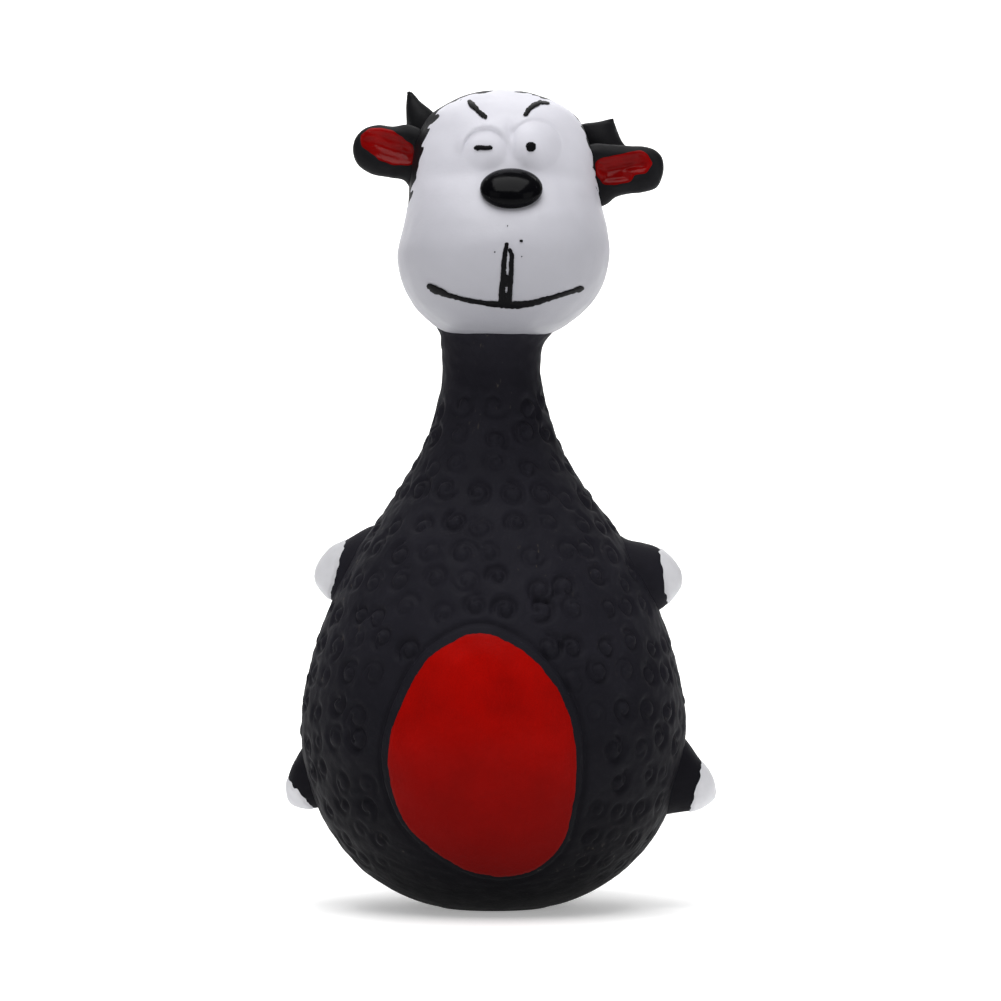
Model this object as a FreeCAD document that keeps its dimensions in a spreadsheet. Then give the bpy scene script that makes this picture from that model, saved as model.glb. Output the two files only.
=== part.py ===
import FreeCAD, Part
import os
import Sketcher

# Hollow latex squeaky toy: a pear-bodied, long-necked farm animal that rests on a small flat base.
# +Z is up, the face looks along -Y, +X is on the right of someone looking at the face.
# The origin is the middle of the resting plane. Every length is in millimetres, every angle in degrees.

V = FreeCAD.Vector
X_AXIS = V(1, 0, 0)
Y_AXIS = V(0, 1, 0)
Z_AXIS = V(0, 0, 1)

# Control points of the pear's outline, bottom to top: radius, height, and the share of the
# wall thickness by which the inner skin steps in and up at that point.
PEAR = [
    (12.8, 0.0, 0.00, 1.00),
    (20.4, 2.4, 0.45, 0.90),
    (28.8, 8.4, 0.62, 0.78),
    (34.7, 16.0, 0.82, 0.57),
    (38.7, 25.5, 0.94, 0.34),
    (40.6, 36.0, 1.00, 0.00),
    (39.6, 48.0, 0.98, -0.20),
    (35.9, 60.0, 0.90, -0.42),
    (29.6, 72.0, 0.86, -0.50),
    (22.2, 84.0, 0.86, -0.50),
    (16.0, 94.0, 0.88, -0.46),
    (11.6, 102.5, 0.95, -0.30),
    (10.4, 110.0, 1.00, -0.08),
    (10.0, 116.0, 1.00, 0.00),
    (10.4, 119.5, 1.00, 0.40),
]

# The same for the skull, from the flat under the chin to the crown.
SKULL = [
    (12.3, 119.5, 1.00, 1.00),
    (14.2, 121.5, 0.94, 0.60),
    (16.6, 125.0, 0.92, 0.40),
    (18.1, 130.0, 1.00, 0.10),
    (18.7, 136.0, 1.00, 0.00),
    (18.8, 142.0, 1.00, 0.00),
    (18.8, 148.0, 1.00, 0.00),
    (18.8, 154.0, 1.00, 0.00),
    (17.7, 160.0, 0.98, -0.20),
    (16.8, 164.6, 0.88, -0.48),
    (13.6, 168.4, 0.62, -0.78),
    (7.0, 170.0, 0.25, -1.00),
    (0.0, 170.0, 0.00, -1.00),
]

SIZES = {
    "wall": 2.5,
    "inlay": 0.6,
    "reach": 70.0,
    # the heights where the pear is parted into torso, neck and head
    "shoulder_z": 86.0,
    "ring_low_z": 104.0,
    "ring_high_z": 108.0,
    "chin_z": 119.5,
    "head_x": 2.07,
    "face_plane_y": -4.5,
    "neck_bore": 7.6,
    # red oval on the belly
    "patch_x": -2.3,
    "patch_z": 33.3,
    "patch_width": 37.6,
    "patch_height": 50.0,
    "patch_gap": 0.4,
    "patch_proud": 0.6,
    # muzzle and eye mounds
    "muzzle_x": 2.2,
    "muzzle_y": -8.5,
    "muzzle_z": 136.4,
    "muzzle_rx": 21.8,
    "muzzle_ry": 21.0,
    "muzzle_rz": 16.4,
    "eye_z": 157.1,
    "wink_eye_x": -0.8,
    "wink_eye_y": -14.2,
    "wink_eye_r": 5.2,
    "open_eye_x": 8.2,
    "open_eye_y": -13.6,
    "open_eye_r": 5.7,
    # nose
    "nose_x": 3.7,
    "nose_y": -22.8,
    "nose_z": 148.3,
    "nose_rx": 6.4,
    "nose_ry": 5.0,
    "nose_rz": 4.15,
    # painted lines of the face
    "wink_start": -3.7,
    "wink_length": 3.35,
    "wink_thick": 1.0,
    "pupil_x": 7.7,
    "pupil_r": 0.95,
    "brow_thick": 0.85,
    "left_brow_x": -5.0,
    "left_brow_z": 166.3,
    "left_brow_length": 4.3,
    "left_brow_tilt": 44.0,
    "right_brow_x": 10.3,
    "right_brow_z": 162.4,
    "right_brow_r": 4.1,
    "right_brow_start": 82.0,
    "right_brow_sweep": 76.0,
    "smile_x": 2.65,
    "smile_r": 35.8,
    "smile_drop": 124.4,
    "smile_sweep": 51.0,
    "smile_thick": 1.0,
    "philtrum_x": 2.3,
    "philtrum_width": 2.4,
    "philtrum_top": 138.4,
    # horns
    "left_horn_x": -13.5,
    "left_horn_z": 161.5,
    "left_horn_base": 5.2,
    "left_horn_tip": 0.7,
    "left_horn_length": 9.6,
    "left_horn_lean": -25.8,
    "left_horn_y": 5.5,
    "right_horn_x": 18.6,
    "right_horn_z": 156.0,
    "right_horn_base": 7.4,
    "right_horn_tip": 2.6,
    "right_horn_length": 9.0,
    "right_horn_lean": 24.0,
    "right_horn_y": 8.5,
    # ears: a pin at the head, and an oval blade with a scooped front
    "ear_y": -2.6,
    "ear_thick": 3.8,
    "ear_round": 1.5,
    "ear_pin_r": 2.5,
    "ear_pin_length": 3.2,
    "ear_socket_gap": 0.35,
    "left_ear_pin_x": -17.1,
    "left_ear_pin_z": 157.0,
    "left_ear_x": -23.3,
    "left_ear_z": 158.0,
    "left_ear_rx": 5.8,
    "left_ear_rz": 5.0,
    "left_ear_tilt": 12.0,
    "right_ear_pin_x": 21.8,
    "right_ear_pin_z": 152.8,
    "right_ear_x": 28.7,
    "right_ear_z": 153.1,
    "right_ear_rx": 6.7,
    "right_ear_rz": 4.9,
    "right_ear_tilt": 4.0,
    "lining_share_x": 0.72,
    "lining_share_z": 0.64,
    "lining_depth": 0.9,
    "lining_shift": 0.4,
    # squeaker pushed into the base
    "flange_r": 8.2,
    "flange_high": 1.6,
    "barrel_r": 5.5,
    "barrel_bore": 4.2,
    "barrel_top": 14.0,
    "barrel_floor": 2.8,
    "vent_r": 1.1,
    "vent_x": 2.6,
    "fit_gap": 0.1,
    "insert_r": 4.1,
    "insert_flat": 0.6,
    "insert_low": 3.6,
    "seat_high": 12.4,
    "clamp_high": 7.4,
    "bead_z": 5.5,
    "bead_r": 0.6,
    "bead_socket_r": 0.9,
    "bead_length": 4.0,
    "reed_width": 3.4,
    "reed_thick": 0.3,
    "reed_height": 6.4,
    "channel_width": 2.4,
    "channel_depth": 2.0,
}

# Each stub of a leg is an ellipsoid leaning outward. Its white hoof is the end beyond "hoof".
LIMBS = {
    "upper_left": {
        "x": -28.7, "y": 4.0, "z": 69.4, "long": 8.8,
        "deep": 6.4, "tall": 6.9, "lean": 180.0, "hoof": 3.4,
    },
    "upper_right": {
        "x": 30.2, "y": -1.0, "z": 68.4, "long": 8.9,
        "deep": 6.8, "tall": 7.5, "lean": -4.0, "hoof": 5.0,
    },
    "lower_left": {
        "x": -36.4, "y": 4.5, "z": 28.0, "long": 8.7,
        "deep": 6.4, "tall": 6.6, "lean": 143.0, "hoof": 3.6,
    },
    "lower_right": {
        "x": 37.1, "y": -1.5, "z": 27.4, "long": 8.9,
        "deep": 6.8, "tall": 7.4, "lean": 20.0, "hoof": 5.0,
    },
}

doc = FreeCAD.newDocument("squeaky_toy")
sheet = doc.addObject("Spreadsheet::Sheet", "Sizes")
next_row = 1


def add_size(alias, number):
    """Write one named number into the next row of the sheet."""
    global next_row
    sheet.set("A%d" % next_row, alias)
    sheet.set("B%d" % next_row, str(number))
    sheet.setAlias("B%d" % next_row, alias)
    next_row += 1


def fill_sheet():
    """Put every size, outline point and limb into the sheet."""
    for alias, number in SIZES.items():
        add_size(alias, number)
    for stem, outline in (("pear", PEAR), ("skull", SKULL)):
        for index, (radius, height, step_in, step_up) in enumerate(outline):
            add_size("%s_radius_%d" % (stem, index), radius)
            add_size("%s_height_%d" % (stem, index), height)
            add_size("%s_inward_%d" % (stem, index), step_in)
            add_size("%s_upward_%d" % (stem, index), step_up)
    for limb, numbers in LIMBS.items():
        for key, number in numbers.items():
            add_size("%s_%s" % (limb, key), number)
    doc.recompute()


def size(text):
    """The sheet's expression for a formula written with bare aliases in square brackets."""
    return text.replace("[", "Sizes.").replace("]", "")


def number(text):
    """The present value of such a formula."""
    return float(sheet.evalExpression(size(text)))


def bind(thing, **formulas):
    """Bind properties of an object to formulas. Double underscores stand for dots."""
    for path, formula in formulas.items():
        thing.setExpression(path.replace("__", "."), size(formula))
    return thing


def turn(axis, degrees):
    """A placement that only turns about one of the main axes."""
    return FreeCAD.Placement(V(0, 0, 0), FreeCAD.Rotation(axis, degrees))


def place(thing, x, y, z, axis=Z_AXIS, angle="0"):
    """Turn an object by a formula about one main axis, then bind where it stands."""
    thing.Placement = turn(axis, number(angle))
    bind(thing, Placement__Base__x=x, Placement__Base__y=y, Placement__Base__z=z)
    if angle != "0":
        bind(thing, Placement__Rotation__Angle=angle)
    return thing


def ellipsoid(name, x, y, z, rx, ry, rz, axis=Z_AXIS, angle="0"):
    """An ellipsoid with half-lengths rx, ry and rz before it's turned."""
    thing = doc.addObject("Part::Ellipsoid", name)
    bind(thing, Radius1=rz, Radius2=rx, Radius3=ry)
    return place(thing, x, y, z, axis, angle)


def box(name, x, y, z, length, width, height, axis=Z_AXIS, angle="0"):
    """A box with one corner at x, y, z."""
    thing = doc.addObject("Part::Box", name)
    bind(thing, Length=length, Width=width, Height=height)
    return place(thing, x, y, z, axis, angle)


def cylinder(name, x, y, z, radius, height):
    """An upright cylinder."""
    thing = doc.addObject("Part::Cylinder", name)
    bind(thing, Radius=radius, Height=height)
    return place(thing, x, y, z)


def cylinder_along_y(name, x, y, z, radius, height):
    """A cylinder that starts at y and runs toward -Y."""
    thing = doc.addObject("Part::Cylinder", name)
    bind(thing, Radius=radius, Height=height)
    thing.Placement = turn(X_AXIS, 90)
    return bind(thing, Placement__Base__x=x, Placement__Base__y=y, Placement__Base__z=z)


def cylinder_along_x(name, x, y, z, radius, height):
    """A cylinder that starts at x and runs toward +X."""
    thing = doc.addObject("Part::Cylinder", name)
    bind(thing, Radius=radius, Height=height)
    thing.Placement = turn(Y_AXIS, 90)
    return bind(thing, Placement__Base__x=x, Placement__Base__y=y, Placement__Base__z=z)


def cut(name, base, tool):
    """base with tool taken away."""
    thing = doc.addObject("Part::Cut", name)
    thing.Base = base
    thing.Tool = tool
    return thing


def common(name, base, tool):
    """What base and tool share."""
    thing = doc.addObject("Part::Common", name)
    thing.Base = base
    thing.Tool = tool
    return thing


def fuse(name, shapes):
    """Several solids joined into one."""
    thing = doc.addObject("Part::MultiFuse", name)
    thing.Shapes = shapes
    return thing


def sketch_on(body, role, name):
    """An empty sketch on one of the body's own origin planes."""
    plane = [feature for feature in body.Origin.OriginFeatures if feature.Role == role][0]
    sketch = body.newObject("Sketcher::SketchObject", name)
    sketch.AttachmentSupport = [(plane, "")]
    sketch.MapMode = "FlatFace"
    return sketch


def fix(sketch, kind, geometry, point, formula):
    """Hold one point of a sketch at a bound distance from the origin, or on the axis when it is zero."""
    if formula == "0":
        axis = -2 if kind == "DistanceX" else -1
        sketch.addConstraint(Sketcher.Constraint("PointOnObject", geometry, point, axis))
        return
    held = number(formula)
    index = sketch.addConstraint(Sketcher.Constraint(kind, -1, 1, geometry, point, held))
    sketch.setExpression("Constraints[%d]" % index, size(formula))


def radius_of(sketch, geometry, formula):
    """Bind the radius of an arc or a circle."""
    index = sketch.addConstraint(Sketcher.Constraint("Radius", geometry, number(formula)))
    sketch.setExpression("Constraints[%d]" % index, size(formula))


def outline_formulas(stem, outline, depth):
    """Radius and height formulas of an outline stepped in by a depth formula."""
    formulas = []
    for index in range(len(outline)):
        radius = "[%s_radius_%d] - (%s) * [%s_inward_%d]" % (stem, index, depth, stem, index)
        height = "[%s_height_%d] + (%s) * [%s_upward_%d]" % (stem, index, depth, stem, index)
        formulas.append((radius, height))
    return formulas


def turned_solid(name, stem, outline, depth):
    """A body turned about Z from a smooth outline whose control points are bound to the sheet."""
    body = doc.addObject("PartDesign::Body", name)
    sketch = sketch_on(body, "XZ_Plane", name + "_outline")
    formulas = outline_formulas(stem, outline, depth)
    points = [V(number(radius), number(height), 0) for radius, height in formulas]
    low = points[0]
    high = points[-1]
    curve = Part.BSplineCurve()
    curve.buildFromPoles(points, False, 3)
    sketch.addGeometry(curve, False)
    sketch.exposeInternalGeometry(0)
    for index, (radius, height) in enumerate(formulas):
        if high.x > 0.001 or index < len(formulas) - 1:
            fix(sketch, "DistanceX", 1 + index, 3, radius)
        fix(sketch, "DistanceY", 1 + index, 3, height)
    corners = [low, V(0, low.y, 0), V(0, high.y, 0)]
    if high.x > 0.001:
        corners.append(high)
    else:
        sketch.addConstraint(Sketcher.Constraint("PointOnObject", 0, 2, -2))
    sides = [
        sketch.addGeometry(Part.LineSegment(start, end), False)
        for start, end in zip(corners, corners[1:])
    ]
    sketch.addConstraint(Sketcher.Constraint("Coincident", sides[0], 1, 0, 1))
    sketch.addConstraint(Sketcher.Constraint("Horizontal", sides[0]))
    sketch.addConstraint(Sketcher.Constraint("PointOnObject", sides[0], 2, -2))
    for before, after in zip(sides, sides[1:]):
        sketch.addConstraint(Sketcher.Constraint("Coincident", before, 2, after, 1))
    if len(sides) == 3:
        sketch.addConstraint(Sketcher.Constraint("PointOnObject", sides[2], 1, -2))
        sketch.addConstraint(Sketcher.Constraint("Horizontal", sides[2]))
    sketch.addConstraint(Sketcher.Constraint("Coincident", sides[-1], 2, 0, 2))
    solid = body.newObject("PartDesign::Revolution", name + "_turned")
    solid.Profile = sketch
    solid.ReferenceAxis = (sketch, ["V_Axis"])
    solid.Angle = 360
    return body


def polygon_turned(name, corners):
    """A body turned about Z from straight-sided corners given as radius and height formulas."""
    body = doc.addObject("PartDesign::Body", name)
    sketch = sketch_on(body, "XZ_Plane", name + "_outline")
    points = [V(number(radius), number(height), 0) for radius, height in corners]
    for start, end in zip(points, points[1:] + points[:1]):
        sketch.addGeometry(Part.LineSegment(start, end), False)
    count = len(points)
    for index in range(count):
        sketch.addConstraint(Sketcher.Constraint("Coincident", index, 2, (index + 1) % count, 1))
    for index, (radius, height) in enumerate(corners):
        fix(sketch, "DistanceX", index, 1, radius)
        fix(sketch, "DistanceY", index, 1, height)
    solid = body.newObject("PartDesign::Revolution", name + "_turned")
    solid.Profile = sketch
    solid.ReferenceAxis = (sketch, ["V_Axis"])
    solid.Angle = 360
    return body


def half_disc(name, side, radius, flat, low, high):
    """A half-disc block, flat on the side toward the middle. side is +1 for +Y and -1 for -Y."""
    body = doc.addObject("PartDesign::Body", name)
    sketch = sketch_on(body, "XY_Plane", name + "_outline")
    reach = number(radius)
    drop = number(flat)
    half = (reach * reach - drop * drop) ** 0.5
    right = V(half, side * drop, 0)
    left = V(-half, side * drop, 0)
    top = V(0, side * reach, 0)
    first, last = (right, left) if side > 0 else (left, right)
    arc = Part.Arc(first, top, last)
    sketch.addGeometry(arc, False)
    sketch.addGeometry(Part.LineSegment(last, first), False)
    sketch.addConstraint(Sketcher.Constraint("Coincident", 0, 2, 1, 1))
    sketch.addConstraint(Sketcher.Constraint("Coincident", 1, 2, 0, 1))
    sketch.addConstraint(Sketcher.Constraint("Coincident", 0, 3, -1, 1))
    sketch.addConstraint(Sketcher.Constraint("Horizontal", 1))
    radius_of(sketch, 0, radius)
    fix(sketch, "DistanceY", 1, 1, "%d * (%s)" % (side, flat))
    pad = body.newObject("PartDesign::Pad", name + "_block")
    pad.Profile = sketch
    bind(pad, Length="(%s) - (%s)" % (high, low))
    bind(sketch, AttachmentOffset__Base__z=low)
    return body


def slab(name, low, high):
    """A wide upright disc between two heights."""
    return cylinder(name, "0", "0", low, "[reach]", "(%s) - (%s)" % (high, low))


def build_pear():
    """The hollow pear, and its outside as a solid."""
    outside = turned_solid("pear_outside", "pear", PEAR, "0")
    inside = turned_solid("pear_inside", "pear", PEAR, "[wall]")
    return outside, cut("pear_wall", outside, inside)


def oval_prism(name, grow, length):
    """The belly oval drawn out along Y, starting in front of the toy."""
    oval = doc.addObject("Part::Ellipse", name + "_edge")
    bind(
        oval,
        MajorRadius="[patch_height] / 2 + (%s)" % grow,
        MinorRadius="[patch_width] / 2 + (%s)" % grow,
    )
    oval.Placement = FreeCAD.Placement(V(0, 0, 0), FreeCAD.Rotation(Z_AXIS, X_AXIS, Y_AXIS, "ZXY"))
    bind(
        oval,
        Placement__Base__x="[patch_x]",
        Placement__Base__y="-[reach]",
        Placement__Base__z="[patch_z]",
    )
    prism = doc.addObject("Part::Extrusion", name)
    prism.Base = oval
    prism.DirMode = "Custom"
    prism.Dir = Y_AXIS
    prism.Solid = True
    return bind(prism, LengthFwd=length)


def build_torso(outside, wall):
    """The torso with its belly opening and squeaker seat, the red patch, and the neck pieces."""
    opening = oval_prism("belly_opening", "[patch_gap]", "[reach] - 11")
    plug = oval_prism("belly_plug", "0", "[reach] - 12")
    flange_seat = cylinder("flange_seat", "0", "0", "-1", "[flange_r] + [fit_gap]", "[flange_high] + 1")
    barrel_seat = cylinder("barrel_seat", "0", "0", "-1", "[barrel_r] + [fit_gap]", "[barrel_floor] + 4")
    lower = common("torso_wall", wall, slab("torso_slab", "-1", "[shoulder_z]"))
    openings = fuse("torso_openings", [opening, flange_seat, barrel_seat])
    nodes = {"torso_shell": cut("torso_shell", lower, openings)}
    patch = common("belly_patch", wall, plug)
    nodes["belly_patch"] = bind(patch, Placement__Base__y="-[patch_proud]")
    for name, low, high in (
        ("neck_lower", "[shoulder_z]", "[ring_low_z]"),
        ("neck_ring", "[ring_low_z]", "[ring_high_z]"),
        ("neck_upper", "[ring_high_z]", "[chin_z]"),
    ):
        nodes[name] = common(name, wall, slab(name + "_slab", low, high))
    return nodes


def build_limb(limb, outside):
    """One stub leg, cut to sit on the pear, and its hoof."""
    at = {key: "[%s_%s]" % (limb, key) for key in LIMBS[limb]}
    whole = ellipsoid(
        limb + "_limb", at["x"], at["y"], at["z"], at["long"], at["deep"], at["tall"], Y_AXIS, at["lean"]
    )
    stub = cut(limb + "_stub", whole, outside)
    angle = number(at["lean"])
    tip = turn(Y_AXIS, angle)
    corner = tip.multVec(V(number(at["hoof"]), -20, -20))
    block = doc.addObject("Part::Box", limb + "_tip")
    bind(block, Length="20", Width="40", Height="40")
    block.Placement = turn(Y_AXIS, angle)
    bind(
        block,
        Placement__Base__x="%s + (%s)" % (at["x"], corner.x),
        Placement__Base__y="%s + (%s)" % (at["y"], corner.y),
        Placement__Base__z="%s + (%s)" % (at["z"], corner.z),
    )
    return {
        limb + "_leg": cut(limb + "_leg", stub, block),
        limb + "_hoof": common(limb + "_hoof", stub, block),
    }


def head_solid(name, depth, with_eyes):
    """Skull, muzzle and, for the outer skins, the eye mounds, all stepped in by a depth formula."""
    skull = turned_solid(name + "_skull", "skull", SKULL, depth)
    bind(skull, Placement__Base__x="[head_x]")
    muzzle = ellipsoid(
        name + "_muzzle",
        "[muzzle_x]",
        "[muzzle_y]",
        "[muzzle_z]",
        "[muzzle_rx] - (%s)" % depth,
        "[muzzle_ry] - (%s)" % depth,
        "[muzzle_rz] - (%s)" % depth,
    )
    shapes = [skull, muzzle]
    if with_eyes:
        for eye in ("wink_eye", "open_eye"):
            radius = "[%s_r] - (%s)" % (eye, depth)
            spot = ("[%s_x]" % eye, "[%s_y]" % eye, "[eye_z]")
            shapes.append(ellipsoid("%s_%s" % (name, eye), *spot, radius, radius, radius))
    return fuse(name, shapes)


def sector(name, x, z, radius, thick, start, sweep):
    """A curved stroke drawn out along Y. Angles run from +X toward +Z."""
    pieces = []
    for part, sign in (("outer", "+"), ("inner", "-")):
        disc = doc.addObject("Part::Cylinder", "%s_%s" % (name, part))
        bind(disc, Radius="(%s) %s (%s) / 2" % (radius, sign, thick), Height="[reach]")
        if part == "outer":
            bind(disc, Angle=sweep)
        flat = FreeCAD.Rotation(X_AXIS, 90)
        opened = FreeCAD.Rotation(Z_AXIS, number(start))
        disc.Placement = FreeCAD.Placement(V(0, 0, 0), flat.multiply(opened))
        bind(disc, Placement__Base__x=x, Placement__Base__y="0", Placement__Base__z=z)
        pieces.append(disc)
    return cut(name, *pieces)


def painted_strokes():
    """The strokes of the face, each drawn out along Y through the whole head."""
    wink = box(
        "wink_stroke",
        "[wink_start]",
        "-[reach]",
        "[eye_z] - [wink_thick] / 2",
        "[wink_length]",
        "[reach]",
        "[wink_thick]",
    )
    pupil = cylinder_along_y("pupil_stroke", "[pupil_x]", "0", "[eye_z]", "[pupil_r]", "[reach]")
    left_brow = box(
        "left_brow_stroke",
        "[left_brow_x]",
        "-[reach]",
        "[left_brow_z]",
        "[left_brow_length]",
        "[reach]",
        "[brow_thick]",
        Y_AXIS,
        "[left_brow_tilt]",
    )
    right_brow = sector(
        "right_brow_stroke",
        "[right_brow_x]",
        "[right_brow_z]",
        "[right_brow_r]",
        "[brow_thick]",
        "[right_brow_start]",
        "[right_brow_sweep]",
    )
    smile = sector(
        "smile_stroke",
        "[smile_x]",
        "[smile_drop] + [smile_r]",
        "[smile_r]",
        "[smile_thick]",
        "270 - [smile_sweep] / 2",
        "[smile_sweep]",
    )
    philtrum = box(
        "philtrum_stroke",
        "[philtrum_x] - [philtrum_width] / 2",
        "-[reach]",
        "[smile_drop] - [smile_thick] / 2",
        "[philtrum_width]",
        "[reach]",
        "[philtrum_top] - [smile_drop] + [smile_thick] / 2",
    )
    return {
        "wink_line": wink,
        "open_eye_pupil": pupil,
        "left_eyebrow": left_brow,
        "right_eyebrow": right_brow,
        "mouth_line": fuse("mouth_stroke", [smile, philtrum]),
    }


def oval_plate(name, x, y, z, rx, rz, thick, tilt):
    """An upright oval plate whose front is at y and which runs toward +Y. The tilt turns it about Y."""
    oval = doc.addObject("Part::Ellipse", name + "_edge")
    bind(oval, MajorRadius=rx, MinorRadius=rz)
    upright = FreeCAD.Rotation(Y_AXIS, number(tilt)).multiply(FreeCAD.Rotation(X_AXIS, 90))
    oval.Placement = FreeCAD.Placement(V(0, 0, 0), upright)
    bind(oval, Placement__Base__x=x, Placement__Base__y=y, Placement__Base__z=z)
    plate = doc.addObject("Part::Extrusion", name)
    plate.Base = oval
    plate.DirMode = "Custom"
    plate.Dir = Y_AXIS
    plate.Solid = True
    return bind(plate, LengthFwd=thick)


def rounded(name, plate, radius):
    """A plate with both of its rims rounded."""
    doc.recompute()
    rims = [
        index
        for index, edge in enumerate(plate.Shape.Edges, 1)
        if edge.BoundBox.YLength < 0.01
    ]
    thing = doc.addObject("Part::Fillet", name)
    thing.Base = plate
    thing.Edges = [(index, number(radius), number(radius)) for index in rims]
    return thing


def build_ear(side):
    """One ear on its pin, and the red lining let into its front."""
    at = {key: "[%s_ear_%s]" % (side, key) for key in ("x", "z", "rx", "rz", "tilt", "pin_x", "pin_z")}
    front = "[ear_y] - [ear_thick] / 2"
    plate = oval_plate(
        side + "_plate", at["x"], front, at["z"], at["rx"], at["rz"], "[ear_thick]", at["tilt"]
    )
    blade = rounded(side + "_blade", plate, "[ear_round]")
    pin_back = "[ear_y] + [ear_pin_length] / 2"
    pin = cylinder_along_y(
        side + "_pin", at["pin_x"], pin_back, at["pin_z"], "[ear_pin_r]", "[ear_pin_length]"
    )
    whole = fuse(side + "_ear_whole", [blade, pin])
    scoop = oval_plate(
        side + "_scoop",
        "%s + %d * [lining_shift]" % (at["x"], -1 if side == "right" else 1),
        front + " - 1",
        at["z"],
        "%s * [lining_share_x]" % at["rx"],
        "%s * [lining_share_z]" % at["rz"],
        "1 + [lining_depth]",
        at["tilt"],
    )
    return {
        side + "_ear": cut(side + "_ear", whole, scoop),
        side + "_ear_lining": common(side + "_ear_lining", blade, scoop),
    }


def build_horn(side, head):
    """One horn, cut to sit on the head."""
    at = {key: "[%s_horn_%s]" % (side, key) for key in ("x", "y", "z", "base", "tip", "length", "lean")}
    cone = doc.addObject("Part::Cone", side + "_horn_cone")
    bind(cone, Radius1=at["base"], Radius2=at["tip"], Height=at["length"])
    place(cone, at["x"], at["y"], at["z"], Y_AXIS, at["lean"])
    return {side + "_horn": cut(side + "_horn", cone, head)}


def build_head():
    """The two halves of the head with everything let into them or standing on them."""
    skin = head_solid("head_skin", "0", True)
    core = head_solid("head_core", "[inlay]", True)
    hollow = head_solid("head_hollow", "[wall]", False)
    strokes = painted_strokes()
    front = box(
        "front_half", "-[reach]", "-[reach]", "100", "2 * [reach]", "[reach] + [face_plane_y]", "2 * [reach]"
    )
    nodes = {}
    for name, stroke in strokes.items():
        shared = common(name + "_deep", skin, stroke)
        nodes[name] = cut(name, shared, core)
    sockets = [
        cylinder_along_y(
            side + "_socket",
            "[%s_ear_pin_x]" % side,
            "[ear_y] + [ear_pin_length] / 2 + [ear_socket_gap]",
            "[%s_ear_pin_z]" % side,
            "[ear_pin_r] + [ear_socket_gap]",
            "[ear_pin_length] + 2 * [ear_socket_gap]",
        )
        for side in ("left", "right")
    ]
    bore = cylinder("neck_bore_hole", "0", "0", "[chin_z] - 1", "[neck_bore]", "8")
    shell = cut("head_shell", skin, fuse("head_openings", [hollow, bore]))
    back = cut("head_back_whole", shell, front)
    nodes["head_back_shell"] = cut("head_back_shell", back, fuse("sockets", sockets))
    face = common("face_whole", shell, front)
    let_in = fuse("all_strokes", [nodes[name] for name in strokes])
    nodes["face_shell"] = cut("face_shell", face, let_in)
    nose = ellipsoid(
        "nose_whole", "[nose_x]", "[nose_y]", "[nose_z]", "[nose_rx]", "[nose_ry]", "[nose_rz]"
    )
    nodes["nose"] = cut("nose", nose, skin)
    for side in ("left", "right"):
        nodes.update(build_horn(side, skin))
        nodes.update(build_ear(side))
    return nodes


def build_squeaker():
    """Barrel with its flange and vent, and the reed held between a long and a short half-disc."""
    body = polygon_turned(
        "barrel_body",
        [
            ("0", "0"),
            ("[flange_r]", "0"),
            ("[flange_r]", "[flange_high]"),
            ("[barrel_r]", "[flange_high]"),
            ("[barrel_r]", "[barrel_top]"),
            ("[barrel_bore]", "[barrel_top]"),
            ("[barrel_bore]", "[barrel_floor]"),
            ("0", "[barrel_floor]"),
        ],
    )
    vents = [
        cylinder("vent_%s" % side, "%d * [vent_x]" % sign, "0", "-1", "[vent_r]", "[barrel_floor] + 2")
        for side, sign in (("left", -1), ("right", 1))
    ]
    barrel = cut("squeaker_barrel", body, fuse("vents", vents))
    trough = cylinder_along_x(
        "bead_trough", "-[barrel_bore]", "0", "[bead_z]", "[bead_socket_r]", "2 * [barrel_bore]"
    )
    channel = box(
        "air_channel",
        "-[channel_width] / 2",
        "[insert_flat] - 1",
        "[insert_low] - 1",
        "[channel_width]",
        "[channel_depth] + 1",
        "[seat_high] - [insert_low] - 0.8",
    )
    seat = half_disc("reed_seat_block", 1, "[insert_r]", "[insert_flat]", "[insert_low]", "[seat_high]")
    clamp = half_disc("reed_clamp_block", -1, "[insert_r]", "[insert_flat]", "[insert_low]", "[clamp_high]")
    bead = cylinder_along_x("reed_bead", "-[bead_length] / 2", "0", "[bead_z]", "[bead_r]", "[bead_length]")
    blade = box(
        "reed_blade",
        "-[reed_width] / 2",
        "-[reed_thick] / 2",
        "[bead_z]",
        "[reed_width]",
        "[reed_thick]",
        "[reed_height]",
    )
    return {
        "squeaker_barrel": barrel,
        "squeaker_reed_seat": cut("squeaker_reed_seat", seat, fuse("seat_openings", [trough, channel])),
        "squeaker_reed_clamp": cut("squeaker_reed_clamp", clamp, trough),
        "squeaker_reed": fuse("squeaker_reed", [bead, blade]),
    }


def check_everything(nodes):
    """Stop if any object failed to build or any part isn't one sound solid."""
    for thing in doc.Objects:
        if "Invalid" in thing.State or "Error" in thing.State:
            raise RuntimeError("%s did not build: %s" % (thing.Name, thing.State))
    for name, thing in nodes.items():
        shape = thing.Shape
        if shape.isNull() or not shape.isValid():
            raise RuntimeError("%s has no sound shape" % name)
        print("%-22s solids %d volume %9.2f" % (name, len(shape.Solids), shape.Volume))


def write_parts(nodes):
    """Write one STEP file for each part."""
    os.makedirs("parts", exist_ok=True)
    for name, thing in nodes.items():
        thing.Label = name
        thing.Shape.exportStep("parts/%s.step" % name)


fill_sheet()
pear_outside, pear_wall = build_pear()
parts = build_torso(pear_outside, pear_wall)
for limb_name in LIMBS:
    parts.update(build_limb(limb_name, pear_outside))
parts.update(build_head())
parts.update(build_squeaker())
doc.recompute()
check_everything(parts)
write_parts(parts)
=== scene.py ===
import math

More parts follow.
